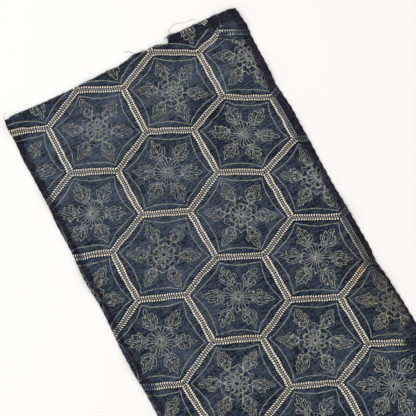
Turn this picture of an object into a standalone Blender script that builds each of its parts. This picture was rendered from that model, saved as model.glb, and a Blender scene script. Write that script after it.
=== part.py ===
"""A cut length of stencil-dyed indigo cotton, one loom width wide, lying flat with its face up.

Metres, +Z up. +X runs across the cloth to its right selvedge and +Y along it, towards the raw
upper end. The origin lies on the surface under the middle of the cloth's outline. The sheet is one
solid: flat on the surface, with low cockles along its selvedges and at its upper corners.
"""
import math

import bmesh
import bpy

MM = 0.001

# Driving sizes in millimetres: the loom's width, the length of the cut and the sheet's thickness.
WIDTH = 330.0
LENGTH = 900.0
THICKNESS = 1.2

# The sheet's mesh: cells across and along, about 15 mm each way.
CELLS_ACROSS = 22
CELLS_ALONG = 60

# How far in from an edge its unevenness fades out.
EDGE_FADE = 60.0

# Left selvedge: distance down from the upper end, distance out past the straight line.
LEFT_EDGE = (
    # down_mm, out_mm
    (0, -0.5),
    (12, 0.8),
    (30, -0.2),
    (60, 1.2),
    (85, 0.2),
    (130, -0.5),
    (150, 0.7),
    (190, -0.2),
    (228, 1.3),
    (272, -1.4),
    (327, 0.0),
    (350, -0.4),
    (390, -2.8),
    (450, -4.0),
    (520, -2.6),
    (600, -0.6),
    (680, 0.8),
    (760, -0.5),
    (830, 0.6),
    (900, 0.0),
)

# Right selvedge, read the same way. It swings out where the left one swings in.
RIGHT_EDGE = (
    # down_mm, out_mm
    (0, 0.4),
    (14, 1.2),
    (28, 2.9),
    (52, 1.2),
    (80, 0.4),
    (100, -0.5),
    (118, -2.0),
    (130, -0.6),
    (155, 1.0),
    (184, 0.0),
    (209, 0.2),
    (230, -0.4),
    (268, -0.9),
    (312, -0.2),
    (330, 0.4),
    (354, 0.8),
    (376, -1.4),
    (405, 1.2),
    (438, 3.4),
    (470, 4.4),
    (540, 3.2),
    (620, 1.0),
    (700, -0.8),
    (780, 0.4),
    (850, -0.6),
    (900, 0.3),
)

# Upper raw end: distance across from the middle, distance out past the straight line. The cut
# drops back by about 8 mm to the left of the step at 60 to 72 mm.
UPPER_END = (
    # across_mm, out_mm
    (-165, -2.2),
    (-150, -0.4),
    (-126, -2.0),
    (-100, -3.2),
    (-65, -3.8),
    (-40, -3.9),
    (-20, -2.7),
    (-8, -3.8),
    (8, -1.9),
    (21, 1.2),
    (36, -1.1),
    (50, -1.0),
    (57, -3.4),
    (63, -7.0),
    (69, 1.4),
    (74, 2.6),
    (83, 1.2),
    (104, 1.2),
    (122, 0.2),
    (137, 0.0),
    (143, -1.4),
    (153, -1.7),
    (165, -4.8),
)

# Cockles: where the cloth stands off the surface, each a soft oval rise.
COCKLES = (
    # across_mm, down_mm, turn_deg, half_long_mm, half_wide_mm, high_mm
    (160, 6, 35, 62, 40, 4.0),
    (-166, 4, -30, 48, 34, 2.6),
    (66, 2, 62, 44, 32, 2.4),
    (-52, 4, 80, 40, 36, 1.6),
    (172, 96, 8, 58, 34, 2.4),
    (170, 184, -10, 52, 38, 1.8),
    (174, 300, 6, 66, 36, 2.8),
    (172, 404, -14, 56, 40, 2.2),
    (176, 520, 10, 62, 42, 2.6),
    (170, 668, -6, 54, 40, 1.9),
    (172, 812, 12, 58, 38, 2.3),
    (-172, 118, -8, 54, 36, 2.0),
    (-174, 226, 12, 62, 38, 2.5),
    (-170, 352, -6, 50, 40, 1.7),
    (-168, 470, 10, 60, 40, 2.4),
    (-172, 610, -12, 56, 38, 2.0),
    (-172, 756, 6, 60, 42, 2.6),
    (-60, 904, 84, 44, 40, 1.8),
    (88, 902, -82, 46, 42, 2.2),
)


def eased(table, at):
    """Read a two-column table at a place, with a smooth step from each row to the next."""
    if at <= table[0][0]:
        return table[0][1]
    for (low, value_low), (high, value_high) in zip(table, table[1:]):
        if at <= high:
            share = (at - low) / (high - low)
            smooth = share * share * (3.0 - 2.0 * share)
            return value_low + (value_high - value_low) * smooth
    return table[-1][1]


def fade(distance):
    """One at an edge, easing to nothing at EDGE_FADE in from it."""
    share = max(0.0, 1.0 - distance / EDGE_FADE)
    return share * share * (3.0 - 2.0 * share)


def outlined(across, down):
    """Move a place on the straight cut length to where the uneven cloth has it."""
    right = eased(RIGHT_EDGE, down) * fade(WIDTH / 2 - across)
    left = eased(LEFT_EDGE, down) * fade(WIDTH / 2 + across)
    upper = eased(UPPER_END, across) * fade(down)
    return across + right - left, LENGTH / 2 - down + upper


def swell(share):
    """A rounded rise: one in the middle, nothing from a share of one outwards."""
    return math.cos(math.pi / 2 * share) ** 2 if abs(share) < 1.0 else 0.0


def lift(across, down):
    """Height of the cloth's underside above the surface it lies on."""
    height = 0.0
    for middle, below, turn, half_long, half_wide, high in COCKLES:
        angle = math.radians(turn)
        dx = across - middle
        dy = below - down
        along = dx * math.cos(angle) + dy * math.sin(angle)
        aside = dy * math.cos(angle) - dx * math.sin(angle)
        height += high * swell(along / half_long) * swell(aside / half_wide)
    return height


def cotton_material():
    """Indigo-dyed cotton: dark, dull and slightly blue."""
    material = bpy.data.materials.new("indigo_cotton")
    material.use_nodes = True
    shader = material.node_tree.nodes["Principled BSDF"]
    shader.inputs["Base Color"].default_value = (0.066, 0.085, 0.116, 1.0)
    shader.inputs["Roughness"].default_value = 0.9
    shader.inputs["Metallic"].default_value = 0.0
    return material


def cloth_panel():
    """The cloth itself: a grid laid to the outline, lifted into its cockles and given a thickness."""
    bm = bmesh.new()
    bmesh.ops.create_grid(bm, x_segments=CELLS_ACROSS, y_segments=CELLS_ALONG, size=1.0)
    for vert in bm.verts:
        across = vert.co.x * WIDTH / 2
        down = (1.0 - vert.co.y) * LENGTH / 2
        x, y = outlined(across, down)
        vert.co = (x * MM, y * MM, lift(across, down) * MM)
    xs = [vert.co.x for vert in bm.verts]
    ys = [vert.co.y for vert in bm.verts]
    middle = ((min(xs) + max(xs)) / 2, (min(ys) + max(ys)) / 2)
    bmesh.ops.translate(bm, vec=(-middle[0], -middle[1], 0.0), verts=bm.verts)
    mesh = bpy.data.meshes.new("cloth_panel")
    bm.to_mesh(mesh)
    bm.free()
    mesh.shade_smooth()
    panel = bpy.data.objects.new("cloth_panel", mesh)
    bpy.context.scene.collection.objects.link(panel)
    thicken = panel.modifiers.new("Cloth thickness", 'SOLIDIFY')
    thicken.thickness = THICKNESS * MM
    thicken.offset = 1.0
    mesh.materials.append(cotton_material())
    return panel


for old in list(bpy.data.objects):
    bpy.data.objects.remove(old, do_unlink=True)

cloth_panel()
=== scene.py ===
"""A cut length of old stencil-dyed indigo cotton, lying flat and photographed from above."""
import math
import random

import bmesh
import bpy
from mathutils import Matrix, Vector, noise


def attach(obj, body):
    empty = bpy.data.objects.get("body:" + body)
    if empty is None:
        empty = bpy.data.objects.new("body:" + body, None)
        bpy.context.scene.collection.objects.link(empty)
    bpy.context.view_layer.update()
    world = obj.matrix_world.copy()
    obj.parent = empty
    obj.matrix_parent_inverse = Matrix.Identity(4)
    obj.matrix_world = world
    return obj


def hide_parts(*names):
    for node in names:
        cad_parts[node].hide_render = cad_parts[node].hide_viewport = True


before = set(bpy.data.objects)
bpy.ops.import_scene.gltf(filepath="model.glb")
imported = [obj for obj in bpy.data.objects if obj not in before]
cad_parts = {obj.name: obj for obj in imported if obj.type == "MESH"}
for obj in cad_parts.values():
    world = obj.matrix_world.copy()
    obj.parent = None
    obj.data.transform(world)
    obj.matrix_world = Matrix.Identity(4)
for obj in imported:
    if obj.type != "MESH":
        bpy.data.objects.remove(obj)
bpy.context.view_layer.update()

# The cloth: one loom width of hand-woven cotton, dyed in indigo over a resist paste that was pushed
# through a paper stencil, then used with its sides sewn into seams, unpicked and cut to length. It
# lies face up. It is made as one thin sheet on the outline and the cockles of its solid.
MM = 0.001
WIDTH = 330.0
LENGTH = 900.0
CLOTH_THICKNESS = 0.9
CELL = 3.0
EDGE_FADE = 60.0

LEFT_EDGE = (
    # down_mm, out_mm
    (0, -0.5),
    (12, 0.8),
    (30, -0.2),
    (60, 1.2),
    (85, 0.2),
    (130, -0.5),
    (150, 0.7),
    (190, -0.2),
    (228, 1.3),
    (272, -1.4),
    (327, 0.0),
    (350, -0.4),
    (390, -2.8),
    (450, -4.0),
    (520, -2.6),
    (600, -0.6),
    (680, 0.8),
    (760, -0.5),
    (830, 0.6),
    (900, 0.0),
)

RIGHT_EDGE = (
    # down_mm, out_mm
    (0, 0.4),
    (14, 1.2),
    (28, 2.9),
    (52, 1.2),
    (80, 0.4),
    (100, -0.5),
    (118, -2.0),
    (130, -0.6),
    (155, 1.0),
    (184, 0.0),
    (209, 0.2),
    (230, -0.4),
    (268, -0.9),
    (312, -0.2),
    (330, 0.4),
    (354, 0.8),
    (376, -1.4),
    (405, 1.2),
    (438, 3.4),
    (470, 4.4),
    (540, 3.2),
    (620, 1.0),
    (700, -0.8),
    (780, 0.4),
    (850, -0.6),
    (900, 0.3),
)

UPPER_END = (
    # across_mm, out_mm
    (-165, -2.2),
    (-150, -0.4),
    (-126, -2.0),
    (-100, -3.2),
    (-65, -3.8),
    (-40, -3.9),
    (-20, -2.7),
    (-8, -3.8),
    (8, -1.9),
    (21, 1.2),
    (36, -1.1),
    (50, -1.0),
    (57, -3.4),
    (63, -7.0),
    (66, -6.2),
    (69, 3.4),
    (74, 2.8),
    (83, 1.2),
    (104, 1.2),
    (122, 0.2),
    (137, 0.0),
    (143, -1.4),
    (153, -1.7),
    (165, -4.8),
)

COCKLES = (
    # across_mm, down_mm, turn_deg, half_long_mm, half_wide_mm, high_mm
    (160, 6, 35, 62, 40, 4.0),
    (-166, 4, -30, 48, 34, 2.6),
    (66, 2, 62, 44, 32, 2.4),
    (-52, 4, 80, 40, 36, 1.6),
    (172, 96, 8, 58, 34, 2.4),
    (170, 184, -10, 52, 38, 1.8),
    (174, 300, 6, 66, 36, 2.8),
    (172, 404, -14, 56, 40, 2.2),
    (176, 520, 10, 62, 42, 2.6),
    (170, 668, -6, 54, 40, 1.9),
    (172, 812, 12, 58, 38, 2.3),
    (-172, 118, -8, 54, 36, 2.0),
    (-174, 226, 12, 62, 38, 2.5),
    (-170, 352, -6, 50, 40, 1.7),
    (-168, 470, 10, 60, 40, 2.4),
    (-172, 610, -12, 56, 38, 2.0),
    (-172, 756, 6, 60, 42, 2.6),
    (-60, 904, 84, 44, 40, 1.8),
    (88, 902, -82, 46, 42, 2.2),
)

# Old fold lines and rubbed wrinkles, pressed nearly flat. Each is a soft ridge, pale along its top.
CREASES = (
    # across_mm, down_mm, turn_deg, half_long_mm, half_wide_mm, high_mm
    (20, 62, 3, 60, 5, 0.35),
    (-66, 58, -6, 46, 6, 0.35),
    (128, 66, 8, 40, 5, 0.4),
    (112, 76, 14, 30, 4, 0.35),
    (30, 88, 10, 52, 5, 0.3),
    (-118, 150, 70, 40, 5, 0.3),
    (96, 176, 12, 66, 5, 0.3),
    (60, 262, -8, 58, 5, 0.3),
    (132, 330, 16, 42, 5, 0.3),
    (-40, 410, 6, 60, 6, 0.3),
    (70, 470, -12, 70, 5, 0.3),
    (-90, 560, 12, 58, 5, 0.3),
    (40, 650, 4, 80, 6, 0.35),
    (-30, 780, -8, 76, 5, 0.3),
    (110, 840, 10, 50, 5, 0.3),
    (157, 127, 20, 7, 5, 0.5),
)


def eased(table, at):
    """Read a two-column table at a place, with a smooth step from each row to the next."""
    if at <= table[0][0]:
        return table[0][1]
    for (low, value_low), (high, value_high) in zip(table, table[1:]):
        if at <= high:
            share = (at - low) / (high - low)
            return value_low + (value_high - value_low) * smooth(share)
    return table[-1][1]


def smooth(share):
    """A step from nothing to one that starts and ends level."""
    share = min(max(share, 0.0), 1.0)
    return share * share * (3.0 - 2.0 * share)


def swell(share):
    """A rounded rise: one in the middle, nothing from a share of one outwards."""
    return math.cos(math.pi / 2 * share) ** 2 if abs(share) < 1.0 else 0.0


def ridges(table, across, down):
    """The height of all the rises in a table at a place on the cloth."""
    height = 0.0
    for middle, below, turn, half_long, half_wide, high in table:
        angle = math.radians(turn)
        dx = across - middle
        dy = below - down
        along = dx * math.cos(angle) + dy * math.sin(angle)
        aside = dy * math.cos(angle) - dx * math.sin(angle)
        if abs(along) < half_long and abs(aside) < half_wide:
            height += high * swell(along / half_long) * swell(aside / half_wide)
    return height


# Along both selvedges an unpicked seam has left small puckers, one to a stitch.
STITCH_PITCH = 10.4
RIGHT_SCALLOP = 0.9
LEFT_SCALLOP = 0.4
SELVEDGE_RIM = 9.0
CUT_RIM = 6.0
CUT_WOBBLE = 0.9


def outlined(across, down):
    """Move a place on the straight cut length to where the uneven cloth has it."""
    near_right = smooth(1.0 - (WIDTH / 2 - across) / EDGE_FADE)
    near_left = smooth(1.0 - (WIDTH / 2 + across) / EDGE_FADE)
    near_upper = smooth(1.0 - down / EDGE_FADE)
    rim_right = smooth(1.0 - (WIDTH / 2 - across) / SELVEDGE_RIM)
    rim_left = smooth(1.0 - (WIDTH / 2 + across) / SELVEDGE_RIM)
    rim_end = max(smooth(1.0 - down / CUT_RIM), smooth(1.0 - (LENGTH - down) / CUT_RIM))
    drift = 2.0 * noise.noise((down / 40, 3, 0))
    pucker = 0.5 + 0.5 * math.sin(2 * math.pi * down / STITCH_PITCH + drift)
    right = eased(RIGHT_EDGE, down) * near_right - RIGHT_SCALLOP * pucker * rim_right
    left = eased(LEFT_EDGE, down) * near_left - LEFT_SCALLOP * pucker * rim_left
    upper = eased(UPPER_END, across) * near_upper
    upper += CUT_WOBBLE * rim_end * noise.noise((across / 4.5, down / 90, 7.0))
    return across + right - left, LENGTH / 2 - down + upper


# Where the print lies on the cloth. The hexagons stand 108 mm apart in rows 89.9 mm apart, with
# each second row set half a step aside. The rows bow down towards the selvedges and the print runs
# sideways as it goes down; wear and washing have pulled it a little here and there. At the upper
# right the stencil was laid a second time, too near, and a scrap of its band lies at the cut edge.
REPEAT_ACROSS = 108.0
ROW_STEP = 89.9
POINT_REACH = 57.3
FIRST_FLOWER = (-66.9, 65.5)
ROW_BOW = 5.7
SIDE_RUN = 22.5
SIDE_RUN_FROM = 135.0
HAND_WOBBLE = 1.6
SECOND_CORNER = (128.2, 23.2)
SECOND_TURN = math.radians(3.5)
SECOND_LEFT = 126.0
SECOND_BELOW = 9.0
SCRAP_PLACE = (121.0, 3.2)
SCRAP_TURN = math.radians(29.4)
SCRAP_HALF = (4.4, 2.0)
SCRAP_SOFT = 0.4
SCRAP_RUNG = (0.55, 0.3)

PULLS = (
    # across_mm, down_mm, half_across_mm, half_down_mm, right_mm, lower_mm
    (130, 112, 60, 60, 0.3, 3.6),
    (132, 32, 40, 40, 0.0, 3.0),
    (60, 192, 76, 58, 0.0, -2.8),
    (-118, 206, 56, 52, 1.0, -2.4),
    (-45, 135, 50, 50, -0.6, 1.4),
    (0, 276, 92, 56, 0.6, 1.3),
    (14, 90, 44, 60, 0.0, -1.5),
    (-2, 455, 66, 60, 0.0, 2.8),
    (-100, 400, 60, 60, -1.6, -0.4),
    (60, 482, 46, 46, -1.6, 0.4),
    (126, 440, 44, 90, 0.5, -1.0),
    (56, 503, 22, 22, 1.8, 0.0),
    (-166, 26, 16, 24, 0.0, 2.6),
    (122, 25, 22, 20, 0.0, 1.5),
)


def print_place(across, down):
    """The place on the stencil, in millimetres, that a place on the cloth was printed from."""
    side = across / (WIDTH / 2)
    run = SIDE_RUN * smooth((down - SIDE_RUN_FROM) / (LENGTH - SIDE_RUN_FROM))
    sway = noise.noise_vector((across / 70, down / 70, 5.0)) * HAND_WOBBLE
    u = across - FIRST_FLOWER[0] - run + sway.x
    v = down - FIRST_FLOWER[1] - ROW_BOW * side * side + sway.y
    for middle, below, half_across, half_down, right, lower in PULLS:
        share = swell((across - middle) / half_across) * swell((down - below) / half_down)
        u -= right * share
        v -= lower * share
    return u, v


def second_lay(across, down):
    """How far inside the second laying of the stencil a place is: below nothing when outside it."""
    slope = math.atan2(POINT_REACH - (ROW_STEP - POINT_REACH), REPEAT_ACROSS / 2) + SECOND_TURN
    aside = (across - SECOND_CORNER[0]) * math.sin(slope)
    above = aside - (down - SECOND_CORNER[1]) * math.cos(slope) + SECOND_BELOW
    return min(above, across - SECOND_LEFT)


# How the cloth has worn. The seam allowances at the sides and the upper end were folded under and
# kept their dye. The rest has faded by places, where a strength below nothing has stayed darker.
# In some places the paste was thin or missed the cloth. Creases are rubbed pale along their tops.
SEAM_LEFT = 9.5
SEAM_UPPER = 17.0
SEAM_SOFT = 7.0
RIGHT_SOFT = 6.0
PALE_SELVEDGE = 5.0
PALE_FROM = 130.0
UPPER_DARK = 1.3
RUBBED_AT = 0.35
RIGHT_PASTE_LOSS = 0.7
LEFT_PASTE_LOSS = 0.65
SEAM_RIGHT = (
    # down_mm, wide_mm
    (0, 10.0),
    (20, 11.0),
    (90, 11.0),
    (130, 13.5),
    (190, 13.5),
    (230, 10.0),
    (360, 9.5),
    (395, 4.0),
    (480, 2.5),
    (540, 8.0),
    (900, 10.0),
)
FADED_PLACES = (
    # across_mm, down_mm, half_across_mm, half_down_mm, strength
    (-110, 70, 95, 75, 0.6),
    (10, 55, 80, 40, 0.35),
    (112, 66, 50, 36, 0.4),
    (-40, 210, 110, 80, 0.5),
    (-60, 350, 70, 70, 0.3),
    (150, 120, 40, 110, -0.35),
    (120, 320, 60, 170, -0.9),
    (90, 540, 160, 150, -1.6),
    (150, 21, 20, 12, -0.9),
    (-50, 455, 60, 60, -0.4),
    (-110, 620, 70, 120, 0.3),
    (40, 760, 90, 70, 0.3),
)
MISSED_PLACES = (
    # across_mm, down_mm, half_across_mm, half_down_mm, strength
    (127.5, 5, 8.5, 15, 1.0),
    (132, 30, 6, 4, 0.8),
    (145, 29, 9, 8, 0.25),
    (159, 36, 14, 8, 0.45),
    (152, 10, 16, 14, 0.7),
    (156, 345, 12, 44, 0.35),
    (156, 412, 20, 36, 0.2),
    (168, 480, 27, 24, 0.95),
    (-158, 379, 9, 10, 0.5),
)


def worn(across, down):
    """How far a place kept its seam colour, faded, was rubbed, and took the paste."""
    ragged = 4.0 * noise.noise((across / 26, down / 26, 1.0))
    ragged += 2.5 * noise.noise((across / 8, down / 8, 2.0))
    from_left = WIDTH / 2 + across
    from_right = WIDTH / 2 - across
    right = smooth((eased(SEAM_RIGHT, down) + 0.5 * ragged - from_right) / RIGHT_SOFT + 0.5)
    left = smooth((SEAM_LEFT + ragged - from_left) / SEAM_SOFT + 0.5)
    left *= 1.0 - smooth((PALE_SELVEDGE - from_left) / 3.0) * smooth((down - PALE_FROM) / 50)
    upper = smooth((SEAM_UPPER + ragged - down) / SEAM_SOFT + 0.5)
    faded = 0.0
    for middle, below, half_across, half_down, strength in FADED_PLACES:
        reach = math.hypot((across - middle) / half_across, (down - below) / half_down)
        faded += strength * smooth(1.4 - reach)
    faded = faded * (1.0 - upper) - UPPER_DARK * upper
    rubbed = min(1.0, ridges(CREASES, across, down) / RUBBED_AT)
    left_loss = LEFT_PASTE_LOSS * left * smooth((down - 15) / 40)
    paste = (1.0 - RIGHT_PASTE_LOSS * right) * (1.0 - left_loss)
    for middle, below, half_across, half_down, strength in MISSED_PLACES:
        reach = math.hypot((across - middle) / half_across, (down - below) / half_down)
        paste *= 1.0 - strength * smooth(4.5 - 4.0 * reach)
    kept_upper = upper * (0.4 + 0.15 * smooth((across - 50) / 20))
    return max(right, left, kept_upper), faded, rubbed, paste


# The sheet is a flat grid, moved cell by cell onto the outline. Each point keeps its wear, how far
# it is inside the second laying, and the place on the stencil that it was printed from.
bpy.ops.object.select_all(action='DESELECT')
cells_across = round(WIDTH / CELL)
cells_along = round(LENGTH / CELL)
bpy.ops.mesh.primitive_grid_add(x_subdivisions=cells_across, y_subdivisions=cells_along, size=2.0)
cloth = bpy.context.object
cloth.name = "cotton_cloth"
laid = []
printed = []
laid_again = []
for vert in cloth.data.vertices:
    across = vert.co.x * WIDTH / 2
    down = (1.0 - vert.co.y) * LENGTH / 2
    x, y = outlined(across, down)
    laid.append((across, down))
    printed.append(print_place(x, LENGTH / 2 - y))
    laid_again.append(second_lay(x, LENGTH / 2 - y))
    vert.co = (x, y, ridges(COCKLES, across, down) + ridges(CREASES, across, down))
middle_x = (min(v.co.x for v in cloth.data.vertices) + max(v.co.x for v in cloth.data.vertices)) / 2
middle_y = (min(v.co.y for v in cloth.data.vertices) + max(v.co.y for v in cloth.data.vertices)) / 2
for vert in cloth.data.vertices:
    vert.co = ((vert.co.x - middle_x) * MM, (vert.co.y - middle_y) * MM, vert.co.z * MM)

wear = cloth.data.attributes.new("wear", 'FLOAT_COLOR', 'POINT')
for place, item in zip(laid, wear.data):
    item.color = worn(*place)

again = cloth.data.attributes.new("second_lay", 'FLOAT', 'POINT')
for depth, item in zip(laid_again, again.data):
    item.value = depth

print_map = cloth.data.uv_layers[0]
print_map.name = "print"
for loop, item in zip(cloth.data.loops, print_map.data):
    item.uv = printed[loop.vertex_index]

bpy.ops.object.shade_smooth()
thicken = cloth.modifiers.new("Cloth thickness", 'SOLIDIFY')
thicken.thickness = CLOTH_THICKNESS * MM
thicken.offset = 1.0
bpy.ops.object.modifier_apply(modifier=thicken.name)

# The map that a baked picture of the cloth uses: its face on the left half, its back on the right.
BAKE_SIDE = 912.0
FACING_DOWN = -0.5
bake_map = cloth.data.uv_layers.new(name="OFBake")
for face in cloth.data.polygons:
    is_back = face.normal.z < FACING_DOWN
    is_rim = abs(face.normal.z) <= -FACING_DOWN
    for index in face.loop_indices:
        place = cloth.data.vertices[cloth.data.loops[index].vertex_index].co
        rim_out = CLOTH_THICKNESS * MM if is_rim and place.z < face.center.z else 0.0
        u = (place.x + face.normal.x * rim_out) / (BAKE_SIDE * MM)
        v = (place.y + face.normal.y * rim_out) / (BAKE_SIDE * MM)
        bake_map.data[index].uv = (0.75 - u if is_back else 0.25 + u, 0.5 + v)

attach(cloth, "root")
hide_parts("cloth_panel")


def linear(hex_colour):
    """An sRGB hex colour as linear light, with full alpha."""
    parts = [int(hex_colour[i:i + 2], 16) / 255 for i in (1, 3, 5)]
    light = [p / 12.92 if p <= 0.04045 else ((p + 0.055) / 1.055) ** 2.4 for p in parts]
    return (*light, 1.0)


def add(tree, kind, inputs=(), out=0, **settings):
    """Add one node with its settings, link or set its inputs, and give back one of its outputs."""
    node = tree.nodes.new("ShaderNode" + kind)
    for name, value in settings.items():
        setattr(node, name, value)
    pairs = inputs.items() if isinstance(inputs, dict) else enumerate(inputs)
    for key, value in pairs:
        if isinstance(value, bpy.types.NodeSocket):
            tree.links.new(value, node.inputs[key])
        elif value is not None:
            node.inputs[key].default_value = value
    return node.outputs[out]


# The stencil's drawing, all in millimetres on the stencil. A place is first brought into its own
# hexagon, and each line is then drawn where the distance to it is less than half its width.
HALF_REPEAT = REPEAT_ACROSS / 2
SIDE_HALF = ROW_STEP - POINT_REACH
SLOPE = (POINT_REACH - SIDE_HALF) / HALF_REPEAT
SLOPE_LENGTH = math.hypot(1.0, SLOPE)


def stroke(tree, distance, half_width, soft):
    """One where a line of that half width is printed, falling off softly at its sides."""
    away = add(tree, "Math", (distance,), operation='ABSOLUTE')
    limits = (away, half_width + soft, half_width - soft)
    return add(tree, "MapRange", limits, interpolation_type='SMOOTHSTEP')


def all_of(tree, *parts):
    """Several shares multiplied together."""
    total = parts[0]
    for part in parts[1:]:
        total = add(tree, "Math", (total, part), operation='MULTIPLY')
    return total


def most_of(tree, *parts):
    """The largest of several values."""
    total = parts[0]
    for part in parts[1:]:
        total = add(tree, "Math", (total, part), operation='MAXIMUM')
    return total


def least_of(tree, *parts):
    """The smallest of several values, which joins the shapes that they are distances to."""
    total = parts[0]
    for part in parts[1:]:
        total = add(tree, "Math", (total, part), operation='MINIMUM')
    return total


def round_lobe(tree, place, middle, radius):
    """Distance outside a round lobe."""
    away = add(tree, "VectorMath", (place, (*middle, 0.0)), out=1, operation='DISTANCE')
    return add(tree, "Math", (away, radius), operation='SUBTRACT')


def lens(tree, place, middle, turn, half_long, half_wide):
    """Distance outside a shape with two points, such as a leaf, turned outwards by some degrees."""
    reach = (half_long ** 2 + half_wide ** 2) / (2 * half_wide)
    centre = (*middle, 0.0)
    if turn:
        spin = {"Vector": place, "Center": centre, "Angle": math.radians(turn)}
        place = add(tree, "VectorRotate", spin, rotation_type='Z_AXIS')
    local = add(tree, "VectorMath", (place, centre), operation='SUBTRACT')
    folded = add(tree, "VectorMath", (local,), operation='ABSOLUTE')
    moved = add(tree, "VectorMath", (folded, (reach - half_wide, 0.0, 0.0)), operation='ADD')
    away = add(tree, "VectorMath", (moved,), out=1, operation='LENGTH')
    return add(tree, "Math", (away, reach), operation='SUBTRACT')


def petal_loop(tree, place, end, spread):
    """Distance outside a petal that widens from the flower's middle to a round end."""
    x = add(tree, "SeparateXYZ", (place,))
    y = x.node.outputs[1]
    past = add(tree, "Math", (y, end), operation='SUBTRACT')
    past = add(tree, "Math", (past, 0.0), operation='MAXIMUM')
    away = add(tree, "VectorMath", (add(tree, "CombineXYZ", (x, past)),), out=1, operation='LENGTH')
    before = add(tree, "Math", (y, end), operation='MINIMUM')
    half = add(tree, "Math", (before, spread), operation='MULTIPLY')
    return add(tree, "Math", (away, half), operation='SUBTRACT')


def polar_place(tree, radius, angle):
    """The place at a radius and an angle from the upward axis: aside, then along."""
    place = []
    for share in ('SINE', 'COSINE'):
        part = add(tree, "Math", (angle,), operation=share)
        place.append(add(tree, "Math", (radius, part), operation='MULTIPLY'))
    return add(tree, "CombineXYZ", place)


def hexagon(tree, place):
    """The place within its own hexagon, whether its row is an odd one, and how far out it is."""
    wrap_high = (HALF_REPEAT, ROW_STEP, 1.0)
    wrap_low = (-HALF_REPEAT, -ROW_STEP, -1.0)
    even = add(tree, "VectorMath", (place, wrap_high, wrap_low), operation='WRAP')
    moved = add(tree, "VectorMath", (place, wrap_high), operation='SUBTRACT')
    odd = add(tree, "VectorMath", (moved, wrap_high, wrap_low), operation='WRAP')
    far = []
    for local in (even, odd):
        folded = add(tree, "VectorMath", (local,), operation='ABSOLUTE')
        far.append(add(tree, "VectorMath", (folded, (SLOPE, 1.0, 0.0)), out=1, operation='DOT_PRODUCT'))
    is_odd = add(tree, "Math", (far[0], far[1]), operation='GREATER_THAN')
    local = add(tree, "Mix", {0: is_odd, 4: even, 5: odd}, out=1, data_type='VECTOR')
    return local, is_odd, add(tree, "Math", (far[0], far[1]), operation='MINIMUM')


# Beside each side of the hexagon runs a row of beads, small dots lie on the side itself, and a thin
# arc bows in. A line is its half width and how soft its sides are.
BEAD_PITCH = 2.93
BEAD_LEAN = 0.35
BEAD_SHAPE = (1.28, 0.76, 0.0)
BEAD_LINE = (1.0, 0.25)
DOT_LINE = (0.85, 0.3)
ARC_HALF = 27.5
ARC_LINE = (0.42, 0.4)
BED_FROM = 6.2
BED_FULL = 4.6

# These differ between the hexagon's slants, first, and its two upright sides, second.
BEAD_ROW = (2.7, 2.95)
BEAD_SLIM = (1.03, 1.0)
BEAD_JOIN = (1.0, 0.7)
DOT_SHARE = (0.5, 0.6)
ARC_MIDDLE = (11.2, 12.9)
ARC_RISE = (-4.4, -5.4)


def frame_lines(tree, local, far):
    """The beaded band on the hexagon's sides, its darker bed, and the thin arcs beside it."""
    x = add(tree, "SeparateXYZ", (local,))
    y = x.node.outputs[1]
    x_in = add(tree, "Math", (x,), operation='ABSOLUTE')
    y_in = add(tree, "Math", (y,), operation='ABSOLUTE')
    to_side = add(tree, "Math", (HALF_REPEAT, x_in), operation='SUBTRACT')
    to_slant = add(tree, "Math", (POINT_REACH, far), operation='SUBTRACT')
    to_slant = add(tree, "Math", (to_slant, SLOPE_LENGTH), operation='DIVIDE')
    is_side = add(tree, "Math", (to_side, to_slant), operation='LESS_THAN')
    away = add(tree, "Math", (to_side, to_slant), operation='MINIMUM')
    across_slant = add(tree, "Math", (x_in, HALF_REPEAT / 2), operation='SUBTRACT')
    down_slant = add(tree, "Math", (y_in, (POINT_REACH + SIDE_HALF) / 2), operation='SUBTRACT')
    run = add(tree, "Math", (down_slant, -SLOPE, across_slant), operation='MULTIPLY_ADD')
    slant_along = add(tree, "Math", (run, SLOPE_LENGTH), operation='DIVIDE')
    pairs = ((slant_along, y), BEAD_JOIN, BEAD_ROW, BEAD_SLIM, DOT_SHARE, ARC_MIDDLE, ARC_RISE)
    along, join, row, slim, dot_share, middle, rise = (
        add(tree, "Mix", {0: is_side, 2: slant, 3: side}, data_type='FLOAT') for slant, side in pairs)

    # Along the length the beads run together into a line; on the slants they stay apart.
    lean = add(tree, "Math", (away, BEAD_LEAN, along), operation='MULTIPLY_ADD')
    step = add(tree, "Math", (lean, BEAD_PITCH / 2, -BEAD_PITCH / 2), operation='WRAP')
    step = add(tree, "Math", (step, join), operation='MULTIPLY')
    from_row = add(tree, "Math", (away, row), operation='SUBTRACT')
    from_row = add(tree, "Math", (from_row, slim), operation='MULTIPLY')
    bead = add(tree, "CombineXYZ", (step, from_row))
    bead = add(tree, "VectorMath", (bead, BEAD_SHAPE), operation='MULTIPLY')
    bead_away = add(tree, "VectorMath", (bead,), out=1, operation='LENGTH')
    beads = stroke(tree, bead_away, *BEAD_LINE)
    half_step = add(tree, "Math", (along, BEAD_PITCH / 2), operation='ADD')
    dot_step = add(tree, "Math", (half_step, BEAD_PITCH / 2, -BEAD_PITCH / 2), operation='WRAP')
    dot = add(tree, "CombineXYZ", (dot_step, away))
    dot_away = add(tree, "VectorMath", (dot,), out=1, operation='LENGTH')
    dots = all_of(tree, stroke(tree, dot_away, *DOT_LINE), dot_share)
    band = most_of(tree, beads, dots)
    bed = add(tree, "MapRange", (away, BED_FROM, BED_FULL), interpolation_type='SMOOTHSTEP')

    share = add(tree, "Math", (along, ARC_HALF), operation='DIVIDE')
    square = add(tree, "Math", (share, share), operation='MULTIPLY')
    bow = add(tree, "Math", (square, rise, middle), operation='MULTIPLY_ADD')
    arc = stroke(tree, add(tree, "Math", (away, bow), operation='SUBTRACT'), *ARC_LINE)
    return band, bed, arc


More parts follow.
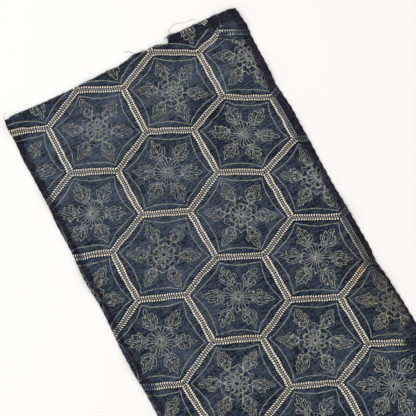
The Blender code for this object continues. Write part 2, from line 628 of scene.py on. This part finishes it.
# Each hexagon holds a flower with a leaf on each of its six axes. Rows with a double flower and
# feathered leaves take turns with rows with a chrysanthemum and lobed leaves.
SIXTH = math.radians(60)

# Shapes with two points: (aside_mm, along_mm), turn_deg, half_long_mm, half_wide_mm.
SLIM_PETAL = ((0.0, 9.6), 0, 5.0, 1.6)
RIM_POINT = ((0.0, 19.2), 0, 2.8, 1.8)
FEATHERED_BLADE = ((0.0, 32.2), 0, 13.6, 6.0)
FEATHERED_SHOULDER = ((4.6, 27.4), 24, 7.8, 3.7)
LOBED_BLADE = ((0.0, 32.0), 0, 12.0, 3.5)
UPPER_LOBE = ((4.2, 30.2), 22, 6.6, 2.4)
LOWER_LOBE = ((5.4, 24.8), 44, 6.0, 2.8)

# Round shapes: (aside_mm, along_mm), radius_mm.
RIM_MIDDLE = ((0.0, 17.0), 3.9)
RIM_SHOULDER = ((4.4, 15.4), 3.6)
FEATHERED_ROOT = ((0.0, 22.8), 4.4)
LOBED_ROOT = ((0.0, 21.8), 5.0)

# Lines: half width and softness in millimetres.
SLIM_LINE = (0.28, 0.25)
LOOP_LINE = (0.32, 0.25)
RIM_LINE = (0.34, 0.3)
VEIN_LINE = (0.3, 0.25)
PETAL_LINE = (0.3, 0.25)
TIP_BEAD = (0.7, 0.3)
LEAF_LINE = (0.32, 0.3)
CONTOUR_LINE = (0.32, 0.25)
EYE_LINE = (0.55, 0.35)

RIM_RADIUS = 12.6
RIM_VEIN = 18.0
RIM_VEIN_LINE = (1.2, 0.4)
LOOP_END = 12.4
LOOP_SPREAD = 0.22
CHRYSANTHEMUM_PETALS = 22
PETAL_END = 15.6
PETAL_UNEVEN = 1.6
PETAL_JUMBLE = 9.7
TIP_BEAD_OUT = 3.2
BARB_STEP = 2.1
BARB_LEAN = -0.9
BARB_DEPTH = 0.5
CONTOUR_STEP = 2.4
LEAF_VEIN_STEP = 2.6
LEAF_VEINS_FROM = (0.0, 31.5, 0.0)
EYE_RING = 2.7


def flowers_and_leaves(tree, local, is_odd):
    """The two kinds of flower, row by row in turn, each with its own six leaves."""
    x = add(tree, "SeparateXYZ", (local,))
    y = x.node.outputs[1]
    radius = add(tree, "VectorMath", (local,), out=1, operation='LENGTH')
    angle = add(tree, "Math", (x, y), operation='ARCTAN2')
    sixth = add(tree, "Math", (angle, SIXTH / 2, -SIXTH / 2), operation='WRAP')
    folded = add(tree, "Math", (sixth,), operation='ABSOLUTE')
    by_point = polar_place(tree, radius, folded)
    by_side = polar_place(tree, radius, add(tree, "Math", (SIXTH / 2, folded), operation='SUBTRACT'))
    point_xyz = add(tree, "SeparateXYZ", (by_point,))
    aside = point_xyz
    along = point_xyz.node.outputs[1]

    # The double flower: six slim petals, six round loops between them, and six broad petals
    # behind, each with a rim that comes to a small point.
    slim = stroke(tree, lens(tree, by_point, *SLIM_PETAL), *SLIM_LINE)
    loops = stroke(tree, petal_loop(tree, by_side, LOOP_END, LOOP_SPREAD), *LOOP_LINE)
    rim_shape = least_of(tree, round_lobe(tree, by_side, *RIM_MIDDLE),
                         round_lobe(tree, by_side, *RIM_SHOULDER),
                         add(tree, "Math", (radius, RIM_RADIUS), operation='SUBTRACT'),
                         lens(tree, by_side, *RIM_POINT))
    rim = all_of(tree, stroke(tree, rim_shape, *RIM_LINE), 0.85)
    side_xyz = add(tree, "SeparateXYZ", (by_side,))
    past = add(tree, "Math", (side_xyz.node.outputs[1], RIM_VEIN), operation='SUBTRACT')
    vein = all_of(tree, stroke(tree, side_xyz, *VEIN_LINE), stroke(tree, past, *RIM_VEIN_LINE), 0.8)
    double_flower = most_of(tree, slim, loops, rim, vein)

    # The chrysanthemum: narrow petals all round, side against side and of uneven lengths, with a
    # bead at the end of each third one.
    slice_half = math.pi / CHRYSANTHEMUM_PETALS
    petal_angle = add(tree, "Math", (angle, slice_half, -slice_half), operation='WRAP')
    by_petal = polar_place(tree, radius, petal_angle)
    petal_turn = add(tree, "Math", (angle, petal_angle), operation='SUBTRACT')
    uneven = add(tree, "Math", (petal_turn, PETAL_JUMBLE), operation='MULTIPLY')
    uneven = add(tree, "Math", (uneven,), operation='SINE')
    petal_end = add(tree, "Math", (uneven, PETAL_UNEVEN, PETAL_END), operation='MULTIPLY_ADD')
    petals = petal_loop(tree, by_petal, petal_end, math.tan(slice_half))
    petals = stroke(tree, petals, *PETAL_LINE)
    petal_xyz = add(tree, "SeparateXYZ", (by_petal,))
    tip = add(tree, "Math", (petal_xyz.node.outputs[1], petal_end), operation='SUBTRACT')
    tip = add(tree, "Math", (tip, TIP_BEAD_OUT), operation='SUBTRACT')
    tip = add(tree, "CombineXYZ", (petal_xyz, tip))
    tip = add(tree, "VectorMath", (tip,), out=1, operation='LENGTH')
    tip_bead = stroke(tree, tip, *TIP_BEAD)
    tip_bead = all_of(tree, tip_bead, add(tree, "Math", (uneven, 0.5), operation='GREATER_THAN'))
    chrysanthemum = most_of(tree, petals, tip_bead)

    # Feathered leaf: a blade over two broad shoulders, with a barbed edge. Lobed leaf: a long blade
    # over forward lobes. The outline of each is drawn again and again inside it.
    barb_run = add(tree, "Math", (aside, BARB_LEAN, along), operation='MULTIPLY_ADD')
    barb = add(tree, "Math", (barb_run, BARB_STEP), operation='PINGPONG')
    broad = least_of(tree, lens(tree, by_point, *FEATHERED_BLADE),
                     lens(tree, by_point, *FEATHERED_SHOULDER),
                     round_lobe(tree, by_point, *FEATHERED_ROOT))
    feathered = add(tree, "Math", (barb, BARB_DEPTH, broad), operation='MULTIPLY_ADD')
    lobed = least_of(tree, lens(tree, by_point, *LOBED_BLADE), lens(tree, by_point, *UPPER_LOBE),
                     lens(tree, by_point, *LOWER_LOBE), round_lobe(tree, by_point, *LOBED_ROOT))
    leaf = add(tree, "Mix", {0: is_odd, 2: feathered, 3: lobed}, data_type='FLOAT')
    within = add(tree, "MapRange", (leaf, 1.2, 0.7))
    inset = add(tree, "Math", (leaf, CONTOUR_STEP / 2, -CONTOUR_STEP / 2), operation='WRAP')
    around = add(tree, "VectorMath", (by_point, LEAF_VEINS_FROM), out=1, operation='DISTANCE')
    vein_step = add(tree, "Math", (around, LEAF_VEIN_STEP / 2, -LEAF_VEIN_STEP / 2), operation='WRAP')
    below = add(tree, "MapRange", (along, 30.5, 28.5))
    inner = add(tree, "MapRange", (leaf, -1.2, -1.7))
    veins = all_of(tree, stroke(tree, vein_step, *VEIN_LINE), below, is_odd, inner)
    outline = stroke(tree, leaf, *LEAF_LINE)
    contours = all_of(tree, stroke(tree, inset, *CONTOUR_LINE), within, 0.85)
    leaves = most_of(tree, contours, outline, veins)

    # In the middle the lines run together, round a bright ring with a dark eye.
    flower = add(tree, "Mix", {0: is_odd, 2: double_flower, 3: chrysanthemum}, data_type='FLOAT')
    heart = add(tree, "MapRange", (radius, 9.5, 3.5, 0.0, 0.32))
    moat = add(tree, "MapRange", (radius, 3.4, 4.4, 0.4, 1.0))
    flower = all_of(tree, most_of(tree, flower, heart), moat)
    eye = stroke(tree, add(tree, "Math", (radius, EYE_RING), operation='SUBTRACT'), *EYE_LINE)
    hole = add(tree, "MapRange", (radius, 1.5, 2.1))
    motif = all_of(tree, most_of(tree, flower, eye, leaves), hole)
    disc = add(tree, "MapRange", (radius, 18.0, 15.0, 0.0, 0.4))
    shade = most_of(tree, disc, add(tree, "MapRange", (leaf, 0.5, -0.5, 0.0, 0.55)))
    return motif, shade


# Plain-woven cotton, hand spun, piece dyed in natural indigo. Thick and thin yarns give short
# streaks across the cloth; wear has rubbed the dye from the high threads; it is quite dull. Beads
# are whitest where the paste was thick, and one place near the right selvedge is stained brown.
INDIGO_DEEP = "#15141d"
INDIGO_BROWN = "#332d38"
INDIGO_BODY = "#141828"
INDIGO_UNWORN = "#0e1220"
INDIGO_FADED = "#555f6e"
INDIGO_RUBBED = "#8b9296"
UNDYED_LINE = "#bfbeb4"
UNDYED_BEAD = "#fcf3df"
THIN_PASTE = "#b5c4ce"
OLD_STAIN = "#fcf2e1"
STAIN_PLACE = (153.0, 405.0)
STAIN_HALF = (36.0, 95.0, 100.0)
THREAD_PITCH = 0.8
WEAVE_DEPTH = 0.15
COTTON_ROUGHNESS = 0.95
COTTON_SHINE = 0.06
LINE_WANDER = 3.2
FLOWER_WANDER = 5.6
ARC_STRENGTH = 0.76
MOTIF_STRENGTH = 0.88
SCRAP_STRENGTH = 0.65
RUB_STRENGTH = 0.8
SEAM_STRENGTH = 0.9
FACE_STRENGTH = 1.0
BACK_STRENGTH = 0.55


def dyed_cotton(name, print_strength):
    """The cloth's finish, with the resist print as strong as that face of the cloth shows it."""
    material = bpy.data.materials.new(name)
    material.use_nodes = True
    tree = material.node_tree
    shader = tree.nodes["Principled BSDF"]
    stencil = add(tree, "UVMap", uv_map="print")
    spot = add(tree, "TexCoord", out=3)
    to_mm = (1 / MM, 1 / MM, 1 / MM)
    cloth_mm = add(tree, "VectorMath", (spot, to_mm), operation='MULTIPLY')

    # At the upper right the second laying takes over, with its own corner and its own turn.
    first_corner = print_place(*SECOND_CORNER)
    spin = {"Vector": stencil, "Center": (*first_corner, 0.0), "Angle": -SECOND_TURN}
    second = add(tree, "VectorRotate", spin, rotation_type='Z_AXIS')
    jump = (2 * REPEAT_ACROSS - first_corner[0], -POINT_REACH - first_corner[1], 0.0)
    second = add(tree, "VectorMath", (second, jump), operation='ADD')
    is_second = add(tree, "Attribute", out=2, attribute_name="second_lay")
    is_second = add(tree, "Math", (is_second, 0.0), operation='GREATER_THAN')
    stencil_laid = add(tree, "Mix", {0: is_second, 4: stencil, 5: second}, out=1, data_type='VECTOR')

    # The cut lines of the paper stencil wander a little, most of all in the flowers and leaves.
    wander = add(tree, "TexNoise", {"Vector": stencil, "Scale": 1 / 14, "Detail": 1.0}, out=1)
    wander = add(tree, "VectorMath", (wander, (0.5, 0.5, 0.5)), operation='SUBTRACT')
    wide = (LINE_WANDER, LINE_WANDER, 0.0)
    drawn = add(tree, "VectorMath", (wander, wide, stencil_laid), operation='MULTIPLY_ADD')
    local, is_odd, far = hexagon(tree, drawn)
    band, bed, arc = frame_lines(tree, local, far)
    shake = add(tree, "TexNoise", {"Vector": stencil, "Scale": 1 / 6.5, "Detail": 1.5}, out=1)
    shake = add(tree, "VectorMath", (shake, (0.5, 0.5, 0.5)), operation='SUBTRACT')
    wide = (FLOWER_WANDER, FLOWER_WANDER, 0.0)
    shaken = add(tree, "VectorMath", (shake, wide, local), operation='MULTIPLY_ADD')
    motif, shade = flowers_and_leaves(tree, shaken, is_odd)

    # A scrap of one more band lies at the cut edge.
    scrap_at = (*print_place(*SCRAP_PLACE), 0.0)
    spin = {"Vector": stencil, "Center": scrap_at, "Angle": SCRAP_TURN}
    scrap = add(tree, "VectorRotate", spin, rotation_type='Z_AXIS')
    scrap = add(tree, "VectorMath", (scrap, scrap_at), operation='SUBTRACT')
    scrap = add(tree, "SeparateXYZ", (scrap,))
    rung = add(tree, "Math", (scrap, BEAD_PITCH / 2, -BEAD_PITCH / 2), operation='WRAP')
    in_scrap = all_of(tree, stroke(tree, scrap, SCRAP_HALF[0], SCRAP_SOFT),
                      stroke(tree, scrap.node.outputs[1], SCRAP_HALF[1], SCRAP_SOFT))
    rungs = all_of(tree, stroke(tree, rung, *SCRAP_RUNG), in_scrap, SCRAP_STRENGTH)

    # The state of the cloth by places, then the streaks, clouds and flecks of its yarn.
    state = add(tree, "Attribute", attribute_name="wear")
    took_paste = state.node.outputs["Alpha"]
    state = add(tree, "SeparateColor", (state,))
    kept = state
    faded = state.node.outputs[1]
    rubbed = state.node.outputs[2]
    weft = add(tree, "VectorMath", (cloth_mm, (1 / 15, 1 / 1.5, 0.0)), operation='MULTIPLY')
    streak = add(tree, "TexNoise", {"Vector": weft, "Scale": 1.0, "Detail": 2.0, "Roughness": 0.55})
    warp = add(tree, "VectorMath", (cloth_mm, (1 / 1.3, 1 / 18, 0.0)), operation='MULTIPLY')
    grain = add(tree, "TexNoise", {"Vector": warp, "Scale": 1.0, "Detail": 2.0, "Roughness": 0.6})
    cloud = add(tree, "TexNoise", {"Vector": cloth_mm, "Scale": 1 / 45, "Detail": 3.0, "Roughness": 0.6})
    fleck = add(tree, "TexNoise", {"Vector": cloth_mm, "Scale": 1 / 1.7, "Detail": 2.0, "Roughness": 0.7})

    # Each part swings about a half, so the sum is brought back to where the middle tone lies.
    tone = add(tree, "Math", (streak, 2.0, -1.0), operation='MULTIPLY_ADD')
    for part, share in ((grain, 0.9), (cloud, 1.1), (fleck, 1.8)):
        tone = add(tree, "Math", (part, share, tone), operation='MULTIPLY_ADD')
    tone = add(tree, "Math", (tone, 1.9), operation='SUBTRACT')
    fade = tone
    for part, share in ((faded, 0.35), (bed, -0.3), (shade, -0.28)):
        fade = add(tree, "Math", (part, share, fade), operation='MULTIPLY_ADD')
    fade = add(tree, "Math", (fade, 0.27), operation='ADD', use_clamp=True)
    unworn = add(tree, "MapRange", (faded, -0.3, -1.2))
    body = add(tree, "Mix", {0: unworn, 6: linear(INDIGO_BODY), 7: linear(INDIGO_UNWORN)}, out=2,
               data_type='RGBA')
    ground = add(tree, "Mix", {0: fade, 6: body, 7: linear(INDIGO_FADED)}, out=2, data_type='RGBA')
    rub = add(tree, "Math", (fleck, 1.6, -0.55), operation='MULTIPLY_ADD', use_clamp=True)
    rub = all_of(tree, rub, rubbed, RUB_STRENGTH)
    ground = add(tree, "Mix", {0: rub, 6: ground, 7: linear(INDIGO_RUBBED)}, out=2, data_type='RGBA')

    # The paste let some dye through here and there, so beads there are a pale blue, and the thin
    # lines have dulled with use.
    patch = add(tree, "TexNoise", {"Vector": stencil, "Scale": 1 / 4.5, "Detail": 3.0, "Roughness": 0.7})
    patch = add(tree, "MapRange", (patch, 0.34, 0.62, 0.3, 1.0))
    lines = most_of(tree, all_of(tree, arc, ARC_STRENGTH), all_of(tree, motif, MOTIF_STRENGTH))
    lines = all_of(tree, lines, patch)
    bead_patch = add(tree, "MapRange", (fleck, 0.3, 0.6, 0.55, 1.0))
    worn_thin = add(tree, "MapRange", (faded, 0.0, 0.6, 1.0, 0.75))
    lines = all_of(tree, lines, took_paste, took_paste, worn_thin, print_strength)
    beads = most_of(tree, all_of(tree, band, bead_patch, took_paste), rungs)
    beads = all_of(tree, beads, print_strength)
    white = most_of(tree, add(tree, "MapRange", (took_paste, 0.5, 0.95)), in_scrap)
    bead_white = add(tree, "Mix", {0: white, 6: linear(THIN_PASTE), 7: linear(UNDYED_BEAD)}, out=2,
                     data_type='RGBA')

    # Where a seam was folded under, the dye is deep and a little brown. The print lies over it.
    kept = add(tree, "Math", (fleck, 0.9, kept), operation='MULTIPLY_ADD')
    kept = add(tree, "MapRange", (kept, 0.8, 1.1), interpolation_type='SMOOTHSTEP')
    kept = all_of(tree, kept, SEAM_STRENGTH)
    brown = add(tree, "Math", (tone, 0.35), operation='ADD', use_clamp=True)
    deep = add(tree, "Mix", {0: brown, 6: linear(INDIGO_DEEP), 7: linear(INDIGO_BROWN)}, out=2,
               data_type='RGBA')
    ground = add(tree, "Mix", {0: kept, 6: ground, 7: deep}, out=2, data_type='RGBA')
    colour = add(tree, "Mix", {0: lines, 6: ground, 7: linear(UNDYED_LINE)}, out=2, data_type='RGBA')
    colour = add(tree, "Mix", {0: beads, 6: colour, 7: bead_white}, out=2, data_type='RGBA')

    # One place near the right selvedge has an old brown stain.
    stain_x = STAIN_PLACE[0] - middle_x
    stain_y = LENGTH / 2 - STAIN_PLACE[1] - middle_y
    from_stain = add(tree, "VectorMath", (cloth_mm, (stain_x, stain_y, 0.0)), operation='SUBTRACT')
    from_stain = add(tree, "VectorMath", (from_stain, STAIN_HALF), operation='DIVIDE')
    stain = add(tree, "VectorMath", (from_stain,), out=1, operation='LENGTH')
    stain = add(tree, "MapRange", (stain, 1.2, 0.5), interpolation_type='SMOOTHSTEP')
    colour = add(tree, "Mix", {0: stain, 6: colour, 7: linear(OLD_STAIN)}, out=2, data_type='RGBA',
                 blend_type='MULTIPLY')
    tree.links.new(colour, shader.inputs["Base Color"])

    # Over and under threads of the plain weave, at their real spacing.
    turns = 2 * math.pi / THREAD_PITCH
    threads = add(tree, "VectorMath", (cloth_mm, (turns / 2, turns / 2, 0.0)), operation='MULTIPLY')
    waves = add(tree, "SeparateXYZ", (add(tree, "VectorMath", (threads,), operation='SINE'),))
    weave = add(tree, "Math", (waves, waves.node.outputs[1]), operation='MULTIPLY')
    height = add(tree, "Math", (streak, 1.5, weave), operation='MULTIPLY_ADD')
    bump = add(tree, "Bump", {"Strength": 0.35, "Distance": WEAVE_DEPTH * MM, "Height": height})
    tree.links.new(bump, shader.inputs["Normal"])
    shader.inputs["Roughness"].default_value = COTTON_ROUGHNESS
    shader.inputs["Specular IOR Level"].default_value = COTTON_SHINE
    return material


cloth.data.materials.clear()
cloth.data.materials.append(dyed_cotton("resist-dyed indigo cotton, face", FACE_STRENGTH))
cloth.data.materials.append(dyed_cotton("resist-dyed indigo cotton, back", BACK_STRENGTH))
for face in cloth.data.polygons:
    face.material_index = 1 if face.normal.z < FACING_DOWN else 0

# Loose yarn: the fringe of short ends along both cuts, a few tufts of pale fibre, and the sewing
# threads that were left in the upper edge when the seams were unpicked.
YARN_SIDES = 3
FRINGE_PITCH = 1.6
FRINGE_RADIUS = 0.14
FRINGE_ROOT = 1.2
FRINGE_REACH = (0.3, 3.2, 0.5)
FRINGE_LEAN = 0.35
TUFT_RADIUS = 0.11
TUFT_REACH = (0.6, 2.4)
TUFT_LIFT = 0.5
YARN_MOTTLE = 700.0
YARN_SHINE = 0.1
INDIGO_YARN = "#2a2e3c"
PALE_FIBRE = "#c3c7c4"
TUFTS = (
    # across_mm, down_mm, spread_mm, strands
    (13.5, -1.0, 3.4, 22),
    (31.5, -1.2, 4.6, 46),
    (66.5, -1.5, 2.2, 16),
    (-20.0, 1.8, 2.6, 10),
    (139.0, 0.4, 3.0, 10),
    (68.4, 1.2, 0.9, 9),
    (163.5, 133, 1.2, 5),
    (164.0, 197, 1.4, 6),
    (164.5, 374, 1.4, 6),
)
THREADS = (
    # name, colour, radius_mm, (across_mm, down_mm) of places from the root outwards
    ("red_thread", "#96484a", 0.23,
     ((77, -3), (75, -4.6), (74, -9), (78.5, -12), (85, -13.4), (96, -10), (108, -8.6), (112.5, -6),
      (112.4, -4))),
    ("brown_thread", "#6b4c3f", 0.32,
     ((23, 2), (20.7, -1), (18.4, -5), (15.2, -8.1), (11.5, -9.4), (8.5, -9))),
    ("indigo_thread", INDIGO_YARN, 0.75,
     ((71.5, 4.6), (67.9, 0.6), (65.6, -1.6), (64.9, -3.4))),
    ("pink_thread", "#b27a78", 0.18,
     ((-163, 2), (-163.4, -1), (-162.6, -4.5), (-159.4, -7.7), (-156.2, -8.4))),
)


def cloth_height(across, down):
    """The height of the cloth's middle plane at a place, in millimetres."""
    return ridges(COCKLES, across, down) + ridges(CREASES, across, down) + CLOTH_THICKNESS / 2


def in_part(across, down, height):
    """A place on the cut cloth and a height, in millimetres, as a point of the part in metres."""
    return Vector((across - middle_x, LENGTH / 2 - down - middle_y, height)) * MM


def yarn(mesh, points, radius):
    """A three-sided strand along some points, drawn thin at its free end."""
    angles = [2 * math.pi * corner / YARN_SIDES for corner in range(YARN_SIDES)]
    rings = []
    for index, point in enumerate(points):
        ahead = points[min(index + 1, len(points) - 1)] - points[max(index - 1, 0)]
        side = ahead.cross(Vector((0.0, 0.0, 1.0))).normalized()
        over = side.cross(ahead).normalized()
        thin = radius * MM * (1.0 - 0.5 * index / (len(points) - 1))
        around = [side * math.cos(angle) + over * math.sin(angle) for angle in angles]
        rings.append([mesh.verts.new(point + thin * outwards) for outwards in around])
    for low, high in zip(rings, rings[1:]):
        for corner in range(YARN_SIDES):
            after = (corner + 1) % YARN_SIDES
            mesh.faces.new((low[corner], low[after], high[after], high[corner]))
    mesh.faces.new(rings[0][::-1])
    mesh.faces.new(rings[-1])


def loose_piece(name, mesh, colour, yarn_name):
    """Make one piece of the part from some yarn, dyed one colour."""
    data = bpy.data.meshes.new(name)
    bmesh.ops.recalc_face_normals(mesh, faces=mesh.faces)
    mesh.to_mesh(data)
    mesh.free()
    piece = bpy.data.objects.new(name, data)
    bpy.context.scene.collection.objects.link(piece)
    material = bpy.data.materials.new(yarn_name)
    material.use_nodes = True
    tree = material.node_tree
    spot = add(tree, "TexCoord", out=3)
    uneven = add(tree, "TexNoise", {"Vector": spot, "Scale": YARN_MOTTLE, "Detail": 2.0})
    darker = [0.6 * part for part in linear(colour)]
    paler = [1.4 * part for part in linear(colour)]
    tone = add(tree, "Mix", {0: uneven, 6: darker, 7: paler}, out=2, data_type='RGBA')
    shader = tree.nodes["Principled BSDF"]
    tree.links.new(tone, shader.inputs["Base Color"])
    shader.inputs["Roughness"].default_value = COTTON_ROUGHNESS
    shader.inputs["Specular IOR Level"].default_value = YARN_SHINE
    data.materials.append(material)
    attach(piece, "root")
    return piece


random.seed(41)
fringe_mesh = bmesh.new()
for end_down, outwards in ((0.0, -1.0), (LENGTH, 1.0)):
    across = -WIDTH / 2 + 0.5
    while across < WIDTH / 2 - 0.5:
        x, y = outlined(across, end_down)
        root = LENGTH / 2 - y
        reach = random.triangular(*FRINGE_REACH)
        lean = random.gauss(0.0, FRINGE_LEAN)
        height = cloth_height(across, end_down)
        tip_height = max(height - 0.5 * reach, FRINGE_RADIUS)
        strand_points = (
            in_part(x, root - outwards * FRINGE_ROOT, height),
            in_part(x + 0.2 * lean * reach, root + outwards * 0.3 * reach, height),
            in_part(x + 0.6 * lean * reach, root + outwards * 0.7 * reach, (height + tip_height) / 2),
            in_part(x + 1.4 * lean * reach, root + outwards * reach, tip_height),
        )
        yarn(fringe_mesh, strand_points, FRINGE_RADIUS)
        across += FRINGE_PITCH * random.uniform(0.5, 1.5)
loose = [loose_piece("cut_end_fringe", fringe_mesh, INDIGO_YARN, "frayed indigo yarn")]

tuft_mesh = bmesh.new()
for across, down, spread, strands in TUFTS:
    for _ in range(strands):
        x = across + random.gauss(0.0, 0.45 * spread)
        y = down + abs(random.gauss(0.0, 0.3 * spread))
        turn = random.uniform(0.0, 2 * math.pi)
        reach = random.uniform(*TUFT_REACH)
        height = cloth_height(across, max(down, 0.0)) + CLOTH_THICKNESS / 2
        height += random.uniform(0.0, TUFT_LIFT)
        root = in_part(x, y, height)
        half = in_part(x + 0.5 * reach * math.cos(turn), y + 0.5 * reach * math.sin(turn), height + 0.25)
        tip = in_part(x + reach * math.cos(turn + 0.6), y + reach * math.sin(turn + 0.6), height)
        yarn(tuft_mesh, (root, half, tip), TUFT_RADIUS)
loose.append(loose_piece("pale_tufts", tuft_mesh, PALE_FIBRE, "undyed cotton fibre"))

# Each sewing thread is a smooth curve through its places. Off the cloth it lies on the board.
STEPS_PER_SPAN = 5
SLIDE_DOWN = 4.0
for name, colour, radius, places in THREADS:
    points = []
    for index in range(len(places) - 1):
        before = Vector(places[max(index - 1, 0)])
        start = Vector(places[index])
        end = Vector(places[index + 1])
        after = Vector(places[min(index + 2, len(places) - 1)])
        for step in range(STEPS_PER_SPAN):
            t = step / STEPS_PER_SPAN
            bend = (2 * before - 5 * start + 4 * end - after) * t ** 2
            bend += (3 * (start - end) + after - before) * t ** 3
            x, down = start + 0.5 * ((end - before) * t + bend)
            on_cloth = cloth_height(x, down) + CLOTH_THICKNESS / 2 + radius
            share = smooth((down + SLIDE_DOWN) / SLIDE_DOWN)
            points.append(in_part(x, down, radius + (on_cloth - radius) * share))
    thread_mesh = bmesh.new()
    yarn(thread_mesh, points, radius)
    loose.append(loose_piece(name, thread_mesh, colour, name.replace("_", " ")))

# The floor: a plain pale board, wide enough to fill the view. It lies just under the cloth, so
# that the two never share a plane. Its sizes, and the lamp's, are in metres.
FLOOR_SIZE = 12.0
FLOOR_DROP = 0.0005
BOARD_WHITE = "#fbfaf8"
bpy.ops.object.select_all(action='DESELECT')
bpy.ops.mesh.primitive_plane_add(size=FLOOR_SIZE, location=(0.0, 0.0, -FLOOR_DROP))
floor = bpy.context.object
floor.name = "floor"
board = bpy.data.materials.new("white painted board")
board.use_nodes = True
board_shader = board.node_tree.nodes["Principled BSDF"]
board_shader.inputs["Base Color"].default_value = linear(BOARD_WHITE)
board_shader.inputs["Roughness"].default_value = 0.8
floor.data.materials.append(board)

# The light: a bright even sky, and one broad soft lamp above the upper left, turned towards the
# middle of the cloth. It gives hardly a shadow.
SKY_STRENGTH = 0.86
LAMP_PLACE = Vector((-0.9, 1.1, 1.6))
LAMP_SIZE = 1.6
LAMP_WATTS = 9.0
world = bpy.data.worlds.new("studio")
bpy.context.scene.world = world
world.use_nodes = True
world.node_tree.nodes["Background"].inputs["Color"].default_value = (1.0, 1.0, 1.0, 1.0)
world.node_tree.nodes["Background"].inputs["Strength"].default_value = SKY_STRENGTH
bpy.ops.object.light_add(type='AREA', location=LAMP_PLACE)
lamp = bpy.context.object
lamp.name = "soft_lamp"
lamp.data.shape = 'DISK'
lamp.data.size = LAMP_SIZE
lamp.data.energy = LAMP_WATTS
lamp.rotation_euler = (-LAMP_PLACE).to_track_quat('-Z', 'Y').to_euler()

# The camera looks down at the upper half, turned so that the length runs to the lower right. Its
# place is in millimetres, across and down the cut cloth and up, and its lens is in frame pixels.
CAMERA_PLACE = (-103.9, 380.8, 1104.7)
CAMERA_RIGHT = Vector((0.88262, -0.46953, 0.02279))
CAMERA_UP = Vector((0.45894, 0.87118, 0.17442))
CAMERA_DISTANCE_PX = 900.0
FRAME_PX = 416.0
camera_data = bpy.data.cameras.new("camera")
camera_data.lens = CAMERA_DISTANCE_PX / FRAME_PX * camera_data.sensor_width
camera_data.clip_end = 50.0
camera = bpy.data.objects.new("camera", camera_data)
bpy.context.scene.collection.objects.link(camera)
camera_back = CAMERA_RIGHT.cross(CAMERA_UP).normalized()
turned = Matrix((CAMERA_RIGHT, CAMERA_UP, camera_back)).transposed().to_4x4()
camera.matrix_world = Matrix.Translation(in_part(*CAMERA_PLACE)) @ turned
bpy.context.scene.camera = camera
bpy.context.scene.view_settings.view_transform = 'Standard'
